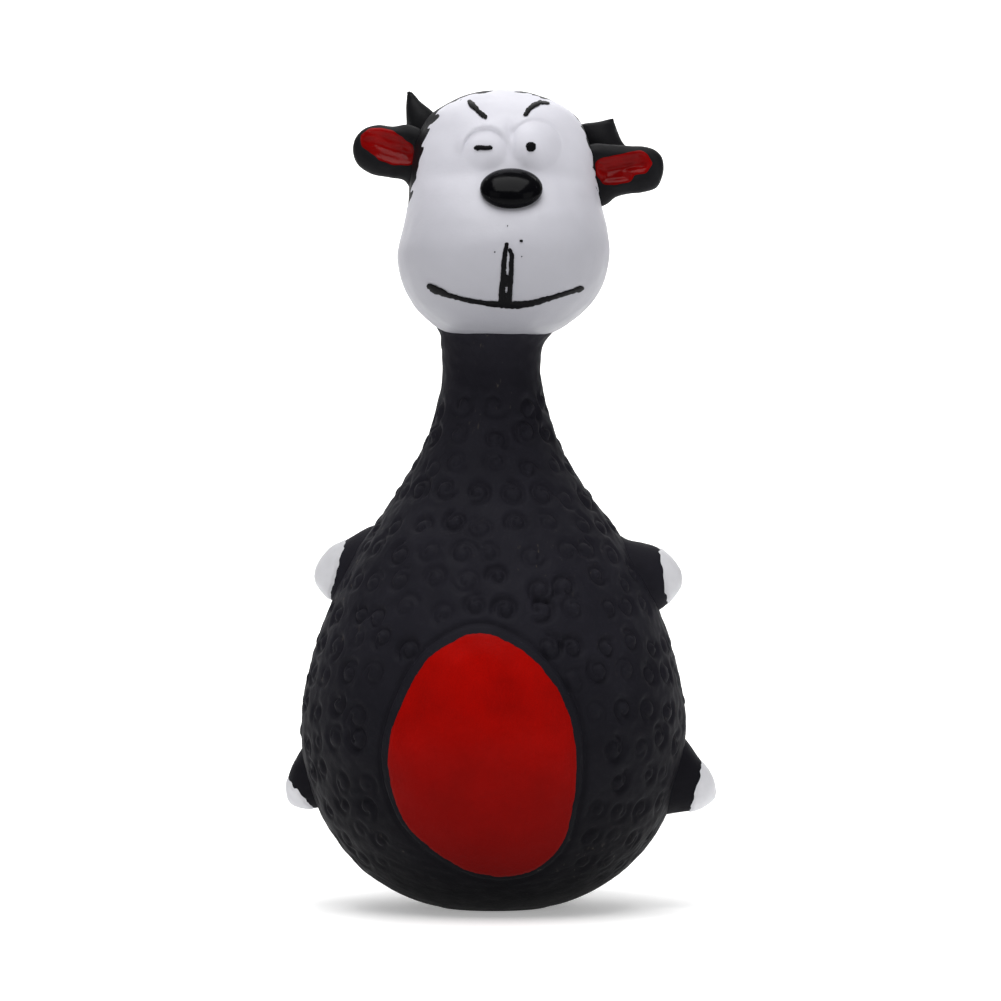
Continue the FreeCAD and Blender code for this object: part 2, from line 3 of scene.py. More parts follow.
import bpy
import numpy as np
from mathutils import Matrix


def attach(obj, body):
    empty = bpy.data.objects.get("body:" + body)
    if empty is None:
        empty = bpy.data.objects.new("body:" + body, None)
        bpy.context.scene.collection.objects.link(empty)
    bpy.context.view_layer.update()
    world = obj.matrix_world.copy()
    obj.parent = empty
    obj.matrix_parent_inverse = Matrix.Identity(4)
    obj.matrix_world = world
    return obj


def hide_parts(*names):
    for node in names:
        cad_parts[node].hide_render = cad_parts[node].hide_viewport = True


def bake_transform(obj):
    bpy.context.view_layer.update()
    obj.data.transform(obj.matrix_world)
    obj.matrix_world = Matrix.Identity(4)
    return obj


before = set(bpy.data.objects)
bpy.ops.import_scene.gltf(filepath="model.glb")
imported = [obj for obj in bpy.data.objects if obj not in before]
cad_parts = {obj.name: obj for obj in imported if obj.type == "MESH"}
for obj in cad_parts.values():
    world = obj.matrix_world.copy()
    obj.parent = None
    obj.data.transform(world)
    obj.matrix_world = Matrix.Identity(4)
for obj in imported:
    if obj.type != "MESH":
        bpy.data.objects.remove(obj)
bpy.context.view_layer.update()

# Visible skins of a hollow latex squeaky toy. Shapes are worked out in millimetres and stored in metres.
# X runs to the right of someone looking at the face, -Y is the way the face looks, Z is up.

MM = 0.001
rng = np.random.default_rng(41)


# ---------------------------------------------------------------- curves and fields

def threaded(rows, count, along):
    """Rows of numbers threaded by a smooth curve and resampled evenly along its first columns."""
    knots = np.array(rows, float)
    steps = np.linalg.norm(np.diff(knots[:, :along], axis=0), axis=1)
    at = np.concatenate([[0], np.cumsum(steps)])
    slope = np.gradient(knots, at, axis=0)
    fine = np.linspace(0, at[-1], count * 6)
    left = np.clip(np.searchsorted(at, fine, side="right") - 1, 0, len(at) - 2)
    span = (at[left + 1] - at[left])[:, None]
    t = ((fine - at[left]) / span[:, 0])[:, None]
    curve = (
        (2 * t**3 - 3 * t**2 + 1) * knots[left]
        + (t**3 - 2 * t**2 + t) * span * slope[left]
        + (3 * t**2 - 2 * t**3) * knots[left + 1]
        + (t**3 - t**2) * span * slope[left + 1]
    )
    length = np.concatenate([[0], np.cumsum(np.linalg.norm(np.diff(curve[:, :along], axis=0), axis=1))])
    even = np.linspace(0, length[-1], count)
    return np.stack([np.interp(even, length, column) for column in curve.T], axis=1)


def closed_loop(points, count=220):
    """A smooth closed outline through the points."""
    wrapped = points[-3:] + points + points[:3]
    dense = threaded(wrapped, count * 2, 2)
    start = np.argmin(np.linalg.norm(dense[: len(dense) // 3] - np.array(points[0]), axis=1))
    later = dense[start + count // 2 :]
    end = start + count // 2 + np.argmin(np.linalg.norm(later - np.array(points[0]), axis=1))
    return dense[start:end]


def smoothstep(low, high, value):
    """0 below low, 1 above high, and a smooth rise between."""
    t = np.clip((value - low) / (high - low), 0, 1)
    return t * t * (3 - 2 * t)


def inside_distance(outline, x, z):
    """Distance from the closed outline: positive inside it, negative outside."""
    flat = np.stack([x.ravel(), z.ravel()], axis=1)
    best = np.full(len(flat), 1e9)
    inside = np.zeros(len(flat), bool)
    ends = np.roll(outline, -1, axis=0)
    for (ax, az), (bx, bz) in zip(outline, ends):
        run = np.array([bx - ax, bz - az])
        share = np.clip(((flat - [ax, az]) @ run) / max(run @ run, 1e-12), 0, 1)
        gap = np.linalg.norm(flat - [ax, az] - share[:, None] * run, axis=1)
        best = np.minimum(best, gap)
        if az != bz:
            crosses = (flat[:, 1] < az) != (flat[:, 1] < bz)
            inside ^= crosses & (flat[:, 0] < ax + (flat[:, 1] - az) * (bx - ax) / (bz - az))
    return np.where(inside, best, -best).reshape(x.shape)


def waves(points, size, seed, count=14):
    """Smooth unevenness between about -1 and 1 whose bumps are about size across."""
    source = np.random.default_rng(seed)
    heading = source.normal(size=(count, 3))
    heading /= np.linalg.norm(heading, axis=1)[:, None]
    pace = 2 * math.pi / (size * source.uniform(0.7, 1.9, count))
    shift = source.uniform(0, 2 * math.pi, count)
    total = np.zeros(points.shape[:-1])
    for way, rate, start in zip(heading, pace, shift):
        total += np.sin(points @ way * rate + start)
    return total / math.sqrt(count)


def grid_normals(points, wrap):
    """Unit normals of a grid of points shaped rows, columns, 3."""
    if wrap:
        across = np.roll(points, -1, axis=1) - np.roll(points, 1, axis=1)
    else:
        across = np.gradient(points, axis=1)
    up = np.gradient(points, axis=0)
    normal = np.cross(across, up)
    return normal / np.maximum(np.linalg.norm(normal, axis=2, keepdims=True), 1e-9)


# ---------------------------------------------------------------- meshes

def grid_faces(rows, columns, wrap):
    """Four-sided faces joining a grid of points."""
    last = columns if wrap else columns - 1
    row, column = np.meshgrid(np.arange(rows - 1), np.arange(last), indexing="ij")
    following = (column + 1) % columns
    corners = [
        row * columns + column,
        row * columns + following,
        (row + 1) * columns + following,
        (row + 1) * columns + column,
    ]
    return np.stack([corner.ravel() for corner in corners], axis=1)


def triangles_of(faces):
    """Each four-sided face as two triangles."""
    return np.concatenate([faces[:, [0, 1, 2]], faces[:, [0, 2, 3]]])


def clipped(points, triangles, field):
    """The part of a triangle mesh where field is positive, cut cleanly along its zero line."""
    keep = field > 0
    count = keep[triangles].sum(axis=1)
    whole = triangles[count == 3]
    points_out = [points]
    new_faces = []
    made = {}
    added = []

    def crossing(a, b):
        key = (a, b) if a < b else (b, a)
        if key not in made:
            share = field[a] / (field[a] - field[b])
            made[key] = len(points) + len(added)
            added.append(points[a] + share * (points[b] - points[a]))
        return made[key]

    for face in triangles[(count == 1) | (count == 2)].tolist():
        ring = []
        for a, b in zip(face, face[1:] + face[:1]):
            if keep[a]:
                ring.append(a)
            if keep[a] != keep[b]:
                ring.append(crossing(a, b))
        for index in range(1, len(ring) - 1):
            new_faces.append([ring[0], ring[index], ring[index + 1]])
    if added:
        points_out.append(np.array(added))
    every = np.concatenate(points_out)
    faces = np.concatenate([whole, np.array(new_faces, int).reshape(-1, 3)])
    used, packed = np.unique(faces, return_inverse=True)
    return every[used], packed.reshape(-1, 3)


def piece(name, points, faces, material, slot):
    """A smooth-shaded object from points in millimetres."""
    mesh = bpy.data.meshes.new(name)
    corners = faces.shape[1]
    mesh.vertices.add(len(points))
    mesh.vertices.foreach_set("co", (points * MM).astype(np.float32).ravel())
    mesh.loops.add(faces.size)
    mesh.loops.foreach_set("vertex_index", faces.astype(np.int32).ravel())
    mesh.polygons.add(len(faces))
    mesh.polygons.foreach_set("loop_start", np.arange(0, faces.size, corners, dtype=np.int32))
    mesh.update(calc_edges=True)
    mesh.polygons.foreach_set("use_smooth", np.ones(len(faces), bool))
    mesh.validate()
    mesh.materials.append(material)
    thing = bpy.data.objects.new(name, mesh)
    bpy.context.scene.collection.objects.link(thing)
    return thing


# ---------------------------------------------------------------- materials

def nodes_for(name):
    """A fresh material, with its node tree, shader and object coordinates."""
    material = bpy.data.materials.new(name)
    material.use_nodes = True
    tree = material.node_tree
    shader = tree.nodes["Principled BSDF"]
    place = tree.nodes.new("ShaderNodeTexCoord")
    return material, tree, shader, place.outputs["Object"]


def noise(tree, where, scale, detail=4.0, rough=0.55):
    """Procedural noise between 0 and 1."""
    node = tree.nodes.new("ShaderNodeTexNoise")
    node.inputs["Scale"].default_value = scale
    node.inputs["Detail"].default_value = detail
    node.inputs["Roughness"].default_value = rough
    tree.links.new(where, node.inputs["Vector"])
    return node.outputs["Fac"]


def ramp(tree, value, stops):
    """A value turned into colours at the given stops."""
    node = tree.nodes.new("ShaderNodeValToRGB")
    node.color_ramp.elements.remove(node.color_ramp.elements[1])
    for index, (at, colour) in enumerate(stops):
        element = node.color_ramp.elements[0] if index == 0 else node.color_ramp.elements.new(at)
        element.position = at
        element.color = (*colour, 1.0)
    tree.links.new(value, node.inputs["Fac"])
    return node.outputs["Color"]


def spread(tree, value, low, high, start=0.0, end=1.0):
    """A value mapped onto another range."""
    node = tree.nodes.new("ShaderNodeMapRange")
    node.inputs["From Min"].default_value = start
    node.inputs["From Max"].default_value = end
    node.inputs["To Min"].default_value = low
    node.inputs["To Max"].default_value = high
    tree.links.new(value, node.inputs["Value"])
    return node.outputs["Result"]


def mixed(tree, share, first, second):
    """Two colours mixed by a share."""
    node = tree.nodes.new("ShaderNodeMix")
    node.data_type = "RGBA"
    tree.links.new(share, node.inputs[0])
    for value, socket in ((first, node.inputs[6]), (second, node.inputs[7])):
        if isinstance(value, tuple):
            socket.default_value = (*value, 1.0)
        else:
            tree.links.new(value, socket)
    return node.outputs[2]


def bumped(tree, shader, height, strength, distance):
    """A bump on the shader's normal."""
    node = tree.nodes.new("ShaderNodeBump")
    node.inputs["Strength"].default_value = strength
    node.inputs["Distance"].default_value = distance
    tree.links.new(height, node.inputs["Height"])
    tree.links.new(node.outputs["Normal"], shader.inputs["Normal"])


def stretched(tree, where, scale):
    """Coordinates stretched by a scale along each axis."""
    node = tree.nodes.new("ShaderNodeMapping")
    node.inputs["Scale"].default_value = scale
    tree.links.new(where, node.inputs["Vector"])
    return node.outputs["Vector"]


def latex(name, dark, light, rough, bump, bend, flecks=None, low=None):
    """Painted latex: two close tones in soft patches, uneven gloss and fine grain.

    flecks is the colour of dry flecks, and low is a height range in metres with a darker tone at its foot:
    painted shade, darker towards the bottom.
    """
    material, tree, shader, where = nodes_for(name)
    tone = ramp(tree, noise(tree, where, 90.0), [(0.3, dark), (0.7, light)])
    # Painted shade: below the top of the low range the colour fades to the darker tone at its foot.
    if low:
        parts = tree.nodes.new("ShaderNodeSeparateXYZ")
        tree.links.new(where, parts.inputs["Vector"])
        tone = mixed(tree, spread(tree, parts.outputs["Z"], 1.0, 0.0, low[0], low[1]), tone, low[2])
    if flecks:
        streaks = noise(tree, stretched(tree, where, (1.0, 1.0, 0.35)), 900.0, 2.0)
        zones = noise(tree, where, 45.0, 2.0)
        both = tree.nodes.new("ShaderNodeMath")
        both.operation = "MULTIPLY"
        tree.links.new(spread(tree, streaks, 0.0, 1.0, 0.66, 0.74), both.inputs[0])
        tree.links.new(spread(tree, zones, 0.0, 1.0, 0.55, 0.70), both.inputs[1])
        tone = mixed(tree, both.outputs[0], tone, flecks)
    tree.links.new(tone, shader.inputs["Base Color"])
    gloss = noise(tree, where, 260.0)
    tree.links.new(spread(tree, gloss, rough[0], rough[1], 0.3, 0.7), shader.inputs["Roughness"])
    grain = noise(tree, where, 1500.0, 3.0)
    bumped(tree, shader, grain, bump, 0.0002)
    shader.inputs["IOR"].default_value = bend
    return material


# Painted shade: the black darkens from 62 mm down to its darkest at 2 mm, under the pear.
BLACK = latex(
    "black_latex", (0.0100, 0.0095, 0.0135), (0.0145, 0.0138, 0.0190), (0.56, 0.70), 0.35, 1.14,
    (0.060, 0.052, 0.042), (0.002, 0.062, (0.0022, 0.0021, 0.0030)),
)
BACK_BLACK = latex(
    "black_head_latex", (0.0030, 0.0030, 0.0040), (0.0060, 0.0060, 0.0076), (0.48, 0.62), 0.3, 1.22,
)
# Painted shade: the white greys from 160 mm down to 120 mm, over the lower face and chin.
WHITE = latex(
    "white_latex", (0.62, 0.615, 0.672), (0.68, 0.675, 0.736), (0.40, 0.54), 0.2, 1.38,
    None, (0.120, 0.160, (0.305, 0.305, 0.335)),
)
HOOF = latex("hoof_latex", (0.54, 0.54, 0.565), (0.70, 0.70, 0.73), (0.40, 0.54), 0.3, 1.38)
# Painted shade: the red darkens from 50 mm down to 8 mm, over the lower belly.
RED = latex(
    "red_latex", (0.25, 0.0013, 0.0004), (0.35, 0.0018, 0.0005), (0.38, 0.50), 0.35, 1.10,
    None, (0.008, 0.050, (0.110, 0.0018, 0.0014)),
)
LINING = latex("ear_red", (0.085, 0.0010, 0.0010), (0.26, 0.0018, 0.0018), (0.10, 0.18), 0.3, 1.17)
NOSE = latex("nose_gloss", (0.0014, 0.0014, 0.0020), (0.0026, 0.0026, 0.0034), (0.10, 0.18), 0.10, 1.14)
PAINT = latex("black_paint", (0.0015, 0.0015, 0.0020), (0.0040, 0.0040, 0.0050), (0.40, 0.54), 0.3, 1.16)
PLASTIC = latex("squeaker_plastic", (0.56, 0.55, 0.51), (0.66, 0.65, 0.61), (0.35, 0.5), 0.15, 1.45)


# ---------------------------------------------------------------- pear body and neck

COLUMNS = 720
# Height of one row of the pear's grid, in millimetres.
STEP = 0.36

# Radius and height of the pear's outline, from the squeaker's seat to under the chin.
PEAR_PROFILE = [
    (8.25, 1.2), (8.3, 0.3), (8.8, 0.0), (13.0, 0.5), (20.0, 3.0), (28.0, 8.5), (34.5, 16.5), (38.5, 26.5),
    (40.2, 37.0), (38.7, 49.0), (34.5, 62.0), (28.0, 75.0), (21.0, 85.0), (15.0, 95.0), (11.6, 104.0),
    (10.2, 113.5), (11.0, 118.3), (13.2, 121.5),
]

# X and Z round the red belly.
EGG = [
    (-2.5, 57.9), (-12.0, 53.6), (-18.4, 43.2), (-20.9, 32.5), (-18.8, 22.5), (-12.0, 14.2), (-3.0, 9.6),
    (6.5, 9.5), (12.8, 14.2), (16.0, 25.0), (16.0, 37.5), (12.0, 47.8), (5.0, 55.0),
]

# Side, height and depth of each leg's root, where the wool has no curls.
LIMB_SPOTS = [(-1, 70.0, 4.0), (1, 69.0, -1.0), (-1, 28.8, 4.5), (1, 28.0, -1.5)]


def curl_height(across, along, radius, turns, start, hand, depth):
    """Relief of one wool curl: a spiral groove around a low dome."""
    away = np.hypot(across, along)
    angle = np.mod(hand * np.arctan2(along, across) - start, 2 * math.pi)
    reach = turns * 2 * math.pi
    relief = 0.30 * np.exp(-((away / (0.62 * radius)) ** 2)) - 0.08 * np.exp(-(((away - radius) / 1.1) ** 2))
    groove = np.zeros_like(away)
    for lap in range(2):
        travelled = angle + lap * 2 * math.pi
        line = 0.28 * radius + 0.72 * radius * np.clip(travelled / reach, 0, 1) ** 0.75
        fade = smoothstep(0.0, 0.7, reach - travelled) * smoothstep(-0.1, 0.5, travelled)
        width = 0.48 + 0.26 * np.clip(travelled / reach, 0, 1)
        groove = np.maximum(groove, fade * np.exp(-(((away - line) / width) ** 2)))
    ridge = 0.07 * np.exp(-(((away - radius * 1.34) / 0.7) ** 2))
    return depth * (1.2 * relief + ridge - 0.62 * groove)


def curl_sites(profile):
    """Row, angle and make of every curl, in staggered uneven rings up the pear."""
    sites = []
    ring = 0
    row = int(np.argmin(np.abs(profile[:, 1] - 10.5)))
    while profile[row, 1] < 105.0:
        radius = profile[row, 0]
        count = max(int(round(2 * math.pi * radius / 7.3)), 8)
        for index in range(count):
            angle = (index + 0.5 * (ring % 2) + rng.uniform(-0.2, 0.2)) * 2 * math.pi / count
            wander = int(round(rng.uniform(-1.7, 1.7) / STEP))
            size, turns, start = rng.uniform(2.1, 3.0), rng.uniform(1.05, 1.5), rng.uniform(0, 6.28)
            make = (size, turns, start, rng.choice([-1, 1]), rng.uniform(0.45, 1.1))
            sites.append((min(row + wander, len(profile) - 4), angle, make))
        row += int(round(6.9 / STEP))
        ring += 1
    return sites


def pear_relief(profile, angles, x, y, z, egg_gap):
    """How far the pear's skin stands out from its smooth outline."""
    relief = np.zeros_like(x)
    columns = len(angles)
    for row, angle, make in curl_sites(profile):
        radius = profile[row, 0]
        depth_here = radius * math.sin(angle)
        spot_x = radius * math.cos(angle)
        spot_z = profile[row, 1]
        near_limb = any(
            math.hypot(depth_here - limb_y, spot_z - limb_z) < 9.0 and side * spot_x > 0
            for side, limb_z, limb_y in LIMB_SPOTS
        )
        column = int(round(angle / (2 * math.pi) * columns)) % columns
        margin = 5.4 - 1.6 * smoothstep(20, 50, spot_z)
        near_egg = y[row, column] < 0 and egg_gap[row, column] > -margin
        if near_limb or near_egg:
            continue
        reach_rows = int(4.6 / STEP)
        reach_columns = int(4.6 / (radius * 2 * math.pi / columns)) + 1
        rows = np.arange(max(row - reach_rows, 1), min(row + reach_rows + 1, len(profile)))
        spread_columns = np.arange(column - reach_columns, column + reach_columns + 1)
        across, along = np.meshgrid(
            (spread_columns - column) * 2 * math.pi / columns * radius, (rows - row) * STEP
        )
        size, turns, start, hand, depth = make
        depth *= 0.45 + 0.85 * smoothstep(-0.3, 0.9, -math.sin(angle))
        depth *= smoothstep(-10.0, 45.0, spot_z)
        size = min(size, 0.30 * radius)
        patch = curl_height(across, along, size, turns, start, hand, depth)
        patch *= smoothstep(4.6, 3.7, np.hypot(across, along))
        relief[np.ix_(rows, spread_columns % columns)] += patch
    return relief


def build_pear():
    """The skin from the squeaker's seat to under the chin: its grid, its normals and the egg's field."""
    length = np.sum(np.linalg.norm(np.diff(np.array(PEAR_PROFILE), axis=0), axis=1))
    profile = threaded(PEAR_PROFILE, int(length / STEP), 2)
    angles = np.arange(COLUMNS) * 2 * math.pi / COLUMNS
    x = profile[:, :1] * np.cos(angles)
    y = profile[:, :1] * np.sin(angles)
    z = np.repeat(profile[:, 1:2], COLUMNS, axis=1)
    points = np.stack([x, y, z], axis=2)
    normals = grid_normals(points, True)
    egg_gap = np.where(y < 0, inside_distance(closed_loop(EGG), x, z), -99.0)
    relief = pear_relief(profile, angles, x, y, z, egg_gap)
    rim = 1.15 + 1.0 * smoothstep(12.0, 46.0, z)
    raised = 0.35 + 0.65 * smoothstep(10.0, 30.0, z)
    pad = smoothstep(-rim - 0.1, -rim + 0.9, egg_gap)
    relief += raised * (0.42 * pad - 0.55 * np.exp(-(((egg_gap + rim + 0.25) / 0.45) ** 2)))
    relief += 0.55 * raised * smoothstep(-0.6, 5.5, egg_gap)
    calm = smoothstep(3.0, 8.0, z)
    fine = 0.05 * waves(points, 3.2, 6) + 0.02 * waves(points, 1.6, 7)
    relief += calm * (0.10 * waves(points, 9.0, 5) + fine * (1 - 0.8 * pad))
    points = points + normals * relief[..., None]
    points[..., 0] += 1.2 * smoothstep(116.5, 121.0, z) - 0.4 * smoothstep(80.0, 95.0, z)
    points[..., 2] = np.maximum(points[..., 2], 0.0)
    return points, grid_normals(points, True), egg_gap


def pear_strip(name, points, low, high):
    """One length of the pear's skin between two rows."""
    part = points[low : high + 1]
    faces = grid_faces(len(part), COLUMNS, True)
    return piece(name, part.reshape(-1, 3), faces, BLACK, "black_latex")


def build_body():
    """Torso, red belly and the two lengths of neck."""
    points, normals, egg_gap = build_pear()
    heights = points[:, :, 2].mean(axis=1)
    past_base = int(np.argmin(np.abs(heights - 20.0)))
    shoulder = past_base + int(np.argmin(np.abs(heights[past_base:] - 86.0)))
    middle = past_base + int(np.argmin(np.abs(heights[past_base:] - 106.0)))
    torso = pear_strip("torso_skin", points, 0, shoulder)
    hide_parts("torso_shell")
    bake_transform(torso)
    lower = pear_strip("lower_neck_skin", points, shoulder, middle)
    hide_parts("neck_lower", "neck_ring")
    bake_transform(lower)
    upper = pear_strip("upper_neck_skin", points, middle, len(points) - 1)
    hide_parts("neck_upper")
    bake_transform(upper)
    ragged = egg_gap + 0.09 * waves(points, 3.4, 11) + 0.05 * waves(points, 0.9, 12)
    lift = 0.04 + 0.14 * smoothstep(0.0, 0.5, ragged)
    top = int(np.argmin(np.abs(heights[past_base:] - 60.0))) + past_base
    paint = (points + normals * lift[..., None])[: top + 1]
    triangles = triangles_of(grid_faces(len(paint), COLUMNS, True))
    mesh = clipped(paint.reshape(-1, 3), triangles, ragged[: top + 1].ravel())
    belly = piece("belly_skin", *mesh, RED, "red_latex")
    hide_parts("belly_patch")
    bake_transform(belly)


# ---------------------------------------------------------------- head

# Height, left edge, right edge, front, middle and back of the head, from under the chin to the crown.
HEAD_ROWS = [
    (119.1, -6.5, 9.0, -9.0, -1.5, 7.0),
    (119.6, -9.2, 11.5, -15.0, -2.1, 10.8),
    (122.0, -13.2, 16.0, -21.9, -3.9, 15.1),
    (126.0, -16.9, 20.4, -26.4, -5.2, 17.2),
    (130.5, -19.0, 22.9, -28.9, -6.0, 18.3),
    (135.5, -19.8, 24.0, -29.7, -6.0, 18.8),
    (141.0, -18.6, 23.5, -27.8, -4.8, 18.8),
    (147.0, -17.8, 22.1, -22.9, -2.2, 18.8),
    (153.0, -17.4, 21.5, -19.4, -0.4, 18.8),
    (158.5, -16.6, 20.3, -18.2, 0.0, 18.4),
    (163.5, -14.4, 18.2, -16.0, 0.0, 16.6),
    (167.5, -9.8, 13.5, -10.6, 0.0, 11.4),
    (169.7, -4.4, 7.9, -5.3, 0.0, 5.9),
    (170.35, 1.9, 2.1, -0.1, 0.0, 0.1),
]
HEAD_CURVE = threaded(HEAD_ROWS, 230, 6)
FRONT_SHAPE = 2.35
BACK_SHAPE = 2.2
# Eye mounds: X, Z, radius, how far the dome stands out, and how far the lid above it does.
EYES = [(-1.6, 156.3, 4.4, 0.85, 0.75), (8.7, 157.2, 5.2, 1.6, 0.30)]
WHITE_LIFT = 0.14


def face_bumps(x, z):
    """How far the eye mounds and the soft folds of the face stand forward."""
    forward = np.zeros_like(x)
    for eye_x, eye_z, radius, height, lid in EYES:
        away = np.hypot(x - eye_x, z - eye_z)
        above = smoothstep(-0.3, 0.6, (z - eye_z) / radius)
        share = np.clip(away / radius, 0, 1)
        dome = height * (above * (1 - share**2.4) + (1 - above) * (1 - share**2) ** 1.4)
        gap = away - 1.14 * radius
        ridge = lid * above * np.exp(-((gap / np.where(gap < 0, 0.45, 1.3)) ** 2))
        forward = np.maximum(forward, dome + ridge)
    brow = 0.7 * np.exp(-(((x - 2.6) / 12.0) ** 2) - ((z - 162.3) / 2.6) ** 2)
    cheek = 0.7 * np.exp(-(((np.abs(x - 2.6) - 9.5) / 5.5) ** 2) - ((z - 146.0) / 4.0) ** 2)
    valley = 0.8 * np.exp(-(((np.abs(x - 2.6) - 11.0) / 6.5) ** 2) - ((z - 151.2) / 2.2) ** 2)
    furrow = 0.7 * np.exp(-(((x - 3.4) / 0.9) ** 2) - ((z - 158.5) / 3.6) ** 2)
    return forward + brow + cheek - valley - furrow


def face_front(x, z):
    """Y of the face's front at a point seen from the front."""
    row = [np.interp(z, HEAD_CURVE[:, 0], HEAD_CURVE[:, column]) for column in range(1, 5)]
    left, right, front, middle = row
    share = np.clip(np.abs(x - (left + right) / 2) / ((right - left) / 2), 0, 0.999)
    return middle + (front - middle) * (1 - share**FRONT_SHAPE) ** (1 / FRONT_SHAPE) - face_bumps(x, z)


def head_grid():
    """The head's surface as a grid that closes at the crown."""
    columns = 520
    turn = np.arange(columns) * 2 * math.pi / columns
    rows = HEAD_CURVE
    z, left, right, front, middle, back = [rows[:, index : index + 1] for index in range(6)]
    cosine, sine = np.cos(turn)[None, :], np.sin(turn)[None, :]
    shape = np.where(sine < 0, FRONT_SHAPE, BACK_SHAPE)
    half = (right - left) / 2
    x = (left + right) / 2 + half * np.sign(cosine) * np.abs(cosine) ** (2 / shape)
    depth = np.where(sine < 0, front - middle, back - middle)
    y = middle + depth * np.abs(sine) ** (2 / shape)
    height = np.repeat(z, columns, axis=1)
    y = y - np.where(sine < 0, face_bumps(x, height), 0) * smoothstep(0.0, 0.35, -sine)
    points = np.stack([x, y, height], axis=2)
    normals = grid_normals(points, True)
    points = points + normals * (0.06 * waves(points, 7.0, 21) + 0.02 * waves(points, 2.5, 22))[..., None]
    return points, grid_normals(points, True)


def white_field(points):
    """Positive where the white paint covers the head. Its edge is ragged and differs from side to side."""
    x, y, z = points[..., 0], points[..., 1], points[..., 2]
    heights = [119, 126, 132, 140, 143, 145, 147, 151, 155, 160, 163, 166, 168, 171]
    left_edge = [9.0, 6.0, 3.0, 0.0, -1.5, -5.5, -8.8, -9.8, -10.2, -10.2, -9.8, -7.6, -6.2, -6.2]
    right_edge = [9.0, 6.0, 3.0, 0.0, -1.5, -2.6, -4.4, -6.0, -5.8, -6.4, -5.6, -4.4, -5.6, -6.2]
    share = smoothstep(-8.0, 12.0, x)
    edge = (1 - share) * np.interp(z, heights, left_edge) + share * np.interp(z, heights, right_edge)
    edge = edge + 5.5 * np.exp(-(((x - 2.0) / 1.5) ** 2)) * smoothstep(167.0, 169.0, z)
    toothed = smoothstep(8.0, 14.0, x) * smoothstep(141.0, 147.0, z)
    teeth = toothed * np.sin(1.9 * z + 2.6 * waves(points, 9.0, 33))
    fine = (0.35 + 0.45 * smoothstep(138.0, 150.0, z)) * waves(points, 2.8, 31)
    return edge - y + teeth + fine + 0.4 * waves(points, 6.0, 32)


def build_head():
    """Black head, and the white face painted over it."""
    points, normals = head_grid()
    rows, columns = points.shape[:2]
    faces = grid_faces(rows, columns, True)
    skull = piece("head_skin", points.reshape(-1, 3), faces, BACK_BLACK, "black_latex")
    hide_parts("head_back_shell")
    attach(skull, "head")
    field = white_field(points)
    painted = points + normals * (0.02 + (WHITE_LIFT - 0.02) * smoothstep(0.0, 0.7, field))[..., None]
    mesh = clipped(painted.reshape(-1, 3), triangles_of(faces), field.ravel())
    face = piece("face_skin", *mesh, WHITE, "white_latex")
    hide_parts("face_shell")
    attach(face, "head")


# The brushed lines of the face: X, Z and half-width at each point.
STROKES = {
    "wink_line": [
        [(-3.7, 156.7, 0.36), (-3.2, 156.75, 0.58), (-2.5, 156.75, 0.54),
         (-1.5, 156.7, 0.48), (-0.6, 156.75, 0.42)],
    ],
    "open_eye_pupil": [[(7.6, 156.9, 1.02), (7.72, 156.92, 1.02)]],
    "left_eyebrow": [
        [(-5.0, 167.0, 0.50), (-4.5, 166.3, 0.66), (-3.5, 165.1, 0.52),
         (-2.4, 163.9, 0.52), (-1.7, 163.3, 0.46)],
    ],
    "right_eyebrow": [
        [(6.6, 163.8, 0.46), (7.2, 165.0, 0.54), (8.3, 166.1, 0.58),
         (9.7, 166.9, 0.54), (11.3, 166.75, 0.36)],
    ],
    "mouth_line": [
        [(-13.0, 128.2, 0.62), (-12.0, 127.6, 0.74), (-10.2, 126.8, 0.68),
         (-9.3, 126.4, 0.46), (-7.3, 125.8, 0.44)],
        [(-7.3, 125.8, 0.44), (-4.4, 125.1, 0.46), (-1.2, 124.6, 0.50),
         (2.4, 124.3, 0.66), (5.0, 124.3, 0.72)],
        [(5.0, 124.3, 0.72), (8.0, 124.7, 0.62), (12.1, 125.9, 0.48),
         (15.6, 127.1, 0.44), (17.7, 127.8, 0.58)],
        [(17.7, 127.8, 0.58), (18.2, 127.95, 0.42)],
        [(2.7, 136.4, 0.42), (2.3, 134.0, 0.48), (2.0, 130.2, 0.56),
         (1.75, 126.8, 0.62), (1.7, 124.4, 0.78)],
        [(3.3, 135.2, 0.40), (3.75, 134.2, 0.46), (3.55, 130.2, 0.50),
         (3.3, 126.4, 0.56), (3.1, 124.4, 0.70)],
        [(2.65, 129.8, 0.46), (2.6, 128.3, 0.46)],
        [(2.45, 126.2, 0.46), (2.45, 124.4, 0.56)],
        [(5.65, 137.1, 0.33), (5.68, 137.1, 0.33)],
        [(2.9, 140.2, 0.13), (2.92, 140.2, 0.13)],
        [(0.3, 134.8, 0.12), (0.32, 134.8, 0.12)],
        [(5.7, 133.9, 0.15), (5.72, 133.9, 0.15)],
    ],
}


def stroke_field(lines, x, z):
    """Positive inside brushed lines whose points carry their own half-width."""
    best = np.full(x.shape, -9.0)
    for line in lines:
        for (ax, az, a_half), (bx, bz, b_half) in zip(line, line[1:]):
            run_x, run_z = bx - ax, bz - az
            share = np.clip(((x - ax) * run_x + (z - az) * run_z) / max(run_x**2 + run_z**2, 1e-9), 0, 1)
            away = np.hypot(x - ax - share * run_x, z - az - share * run_z)
            best = np.maximum(best, a_half + share * (b_half - a_half) - away)
    return best


